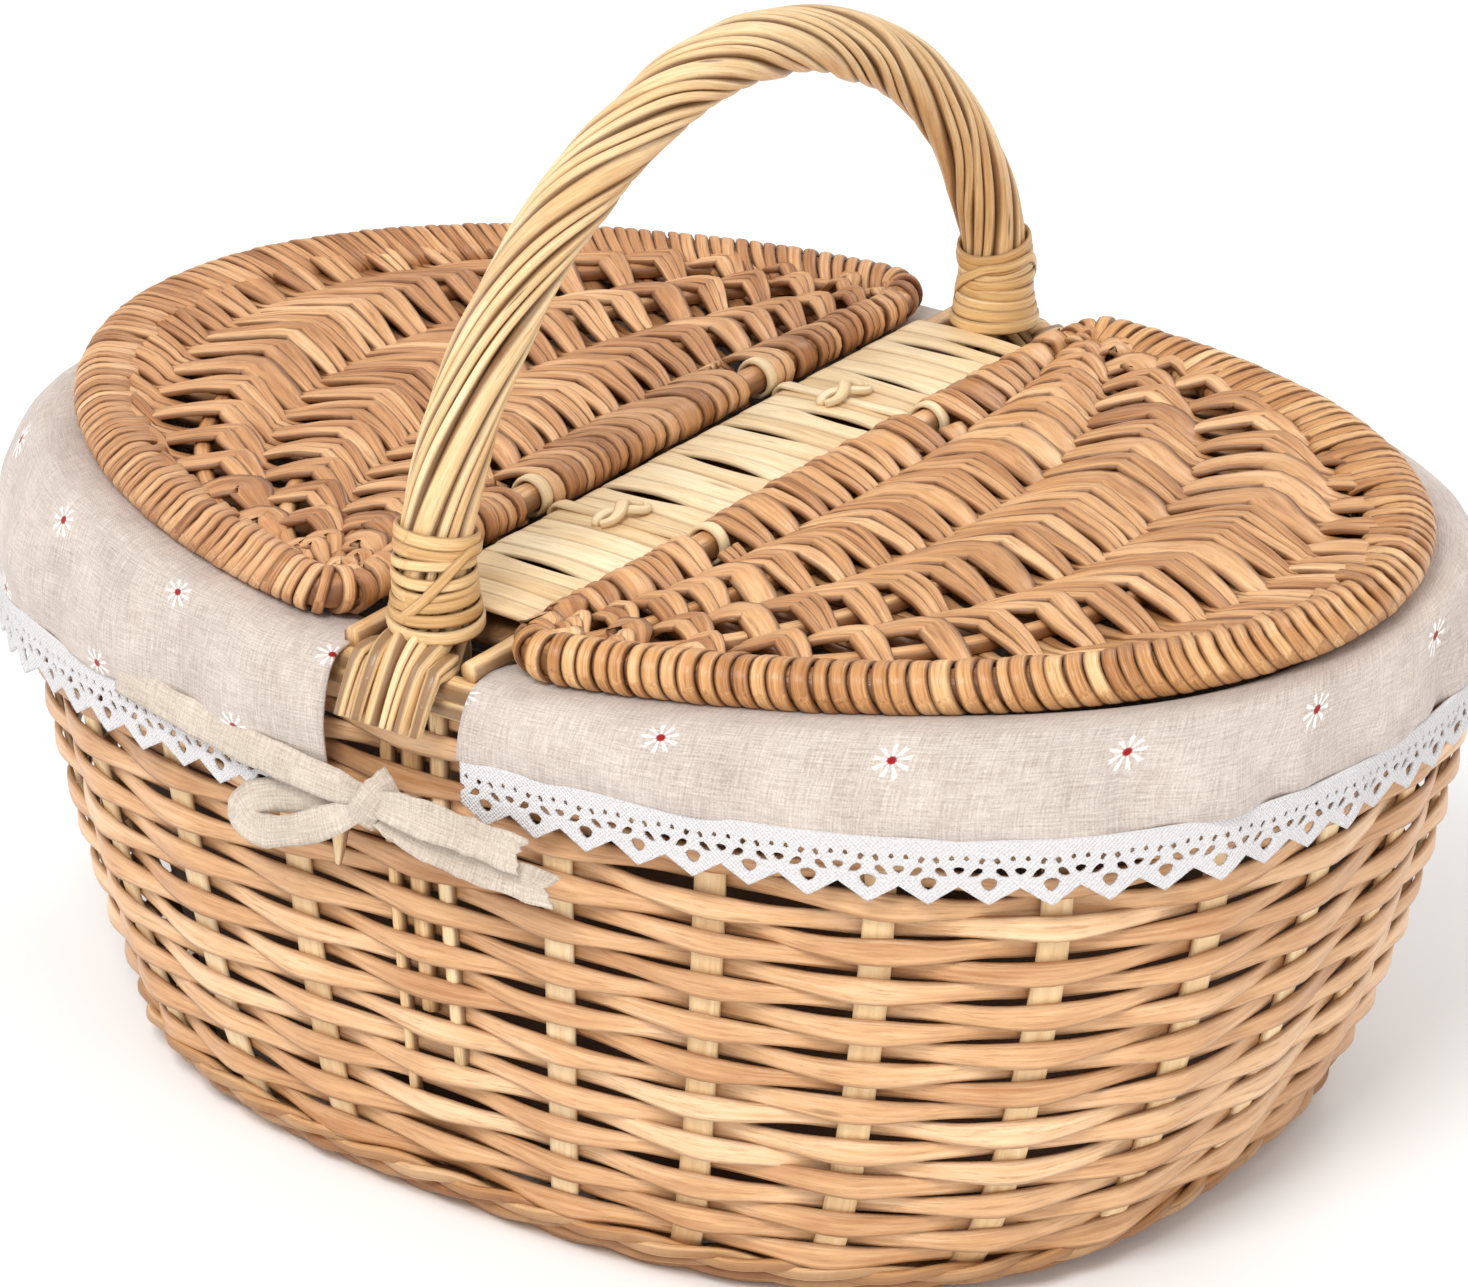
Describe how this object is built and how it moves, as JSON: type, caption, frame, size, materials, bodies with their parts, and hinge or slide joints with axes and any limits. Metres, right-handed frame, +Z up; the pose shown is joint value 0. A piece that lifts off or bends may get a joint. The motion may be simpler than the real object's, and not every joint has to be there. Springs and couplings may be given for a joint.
{
  "type": "wicker picnic basket",
  "caption": "Oval willow picnic basket with an over-handle, a wrapped centre bar, two hinged half-oval lids and a cloth liner with lace edging and ribbon ties.",
  "frame": {"origin": "on the floor, under the middle of the basket", "axes": "+X along the length from one lid to the other, +Y along the bar between the handle feet, +Z up"},
  "size_m": [0.4195, 0.314, 0.2916],
  "materials": {
    "willow_wall": "split willow strip, satin, with pith-side fibres",
    "willow_lid": "buff willow skein, satin, redder and darker than the wall",
    "willow_brown": "buff willow rod, satin",
    "willow_pale": "peeled white willow rod, smooth and slightly glossy",
    "willow_skein": "wide white willow skein, smooth",
    "linen": "plain-weave linen with a small printed flower",
    "lace": "white cotton lace",
    "ribbon": "unbleached linen tape"
  },
  "bodies": {
    "basket": {"base_weave": "willow_brown", "foot_border": "willow_brown", "wall_weave": "willow_wall", "rim_border": "willow_wall", "handle_core": "willow_pale", "handle_wrap_near": "willow_skein", "handle_wrap_far": "willow_skein", "bar_board": "willow_pale", "bar_wrap": "willow_skein", "liner_bag": "linen", "liner_skirt_left": "linen", "liner_skirt_right": "linen", "lace_left": "lace", "lace_right": "lace", "ribbon_near": "ribbon", "ribbon_far": "ribbon", "stake_01": "willow_pale", "stake_02": "willow_pale", "stake_03": "willow_pale", "stake_04": "willow_pale", "stake_05": "willow_pale", "stake_06": "willow_pale", "stake_07": "willow_pale", "stake_08": "willow_pale", "stake_09": "willow_pale", "stake_10": "willow_pale", "stake_11": "willow_pale", "stake_12": "willow_pale", "stake_13": "willow_pale", "stake_14": "willow_pale", "stake_15": "willow_pale", "stake_16": "willow_pale", "stake_17": "willow_pale", "stake_18": "willow_pale", "stake_19": "willow_pale", "stake_20": "willow_pale", "stake_21": "willow_pale", "stake_22": "willow_pale", "stake_23": "willow_pale", "stake_24": "willow_pale", "handle_rod_1": "willow_pale", "handle_rod_2": "willow_pale", "handle_rod_3": "willow_pale", "handle_rod_4": "willow_pale", "handle_rod_5": "willow_pale", "handle_rod_6": "willow_pale", "handle_rod_7": "willow_pale", "handle_rod_8": "willow_pale", "hinge_loop_left_near": "willow_pale", "hinge_loop_left_far": "willow_pale", "hinge_loop_right_near": "willow_pale", "hinge_loop_right_far": "willow_pale", "hinge_tie_near": "willow_skein", "hinge_tie_far": "willow_skein"},
    "lid_left": {"lid_left_border": "willow_lid", "lid_left_hinge_rod": "willow_lid", "lid_left_weave": "willow_lid"},
    "lid_right": {"lid_right_border": "willow_lid", "lid_right_hinge_rod": "willow_lid", "lid_right_weave": "willow_lid"}
  },
  "joints": [
    {"name": "lid_left_hinge", "type": "hinge", "parent": "basket", "child": "lid_left", "pos_m": [-0.0285, 0, 0.17], "axis": [0, 1, 0], "range_deg": [0, 93]},
    {"name": "lid_right_hinge", "type": "hinge", "parent": "basket", "child": "lid_right", "pos_m": [0.0285, 0, 0.17], "axis": [0, -1, 0], "range_deg": [0, 93]}
  ]
}
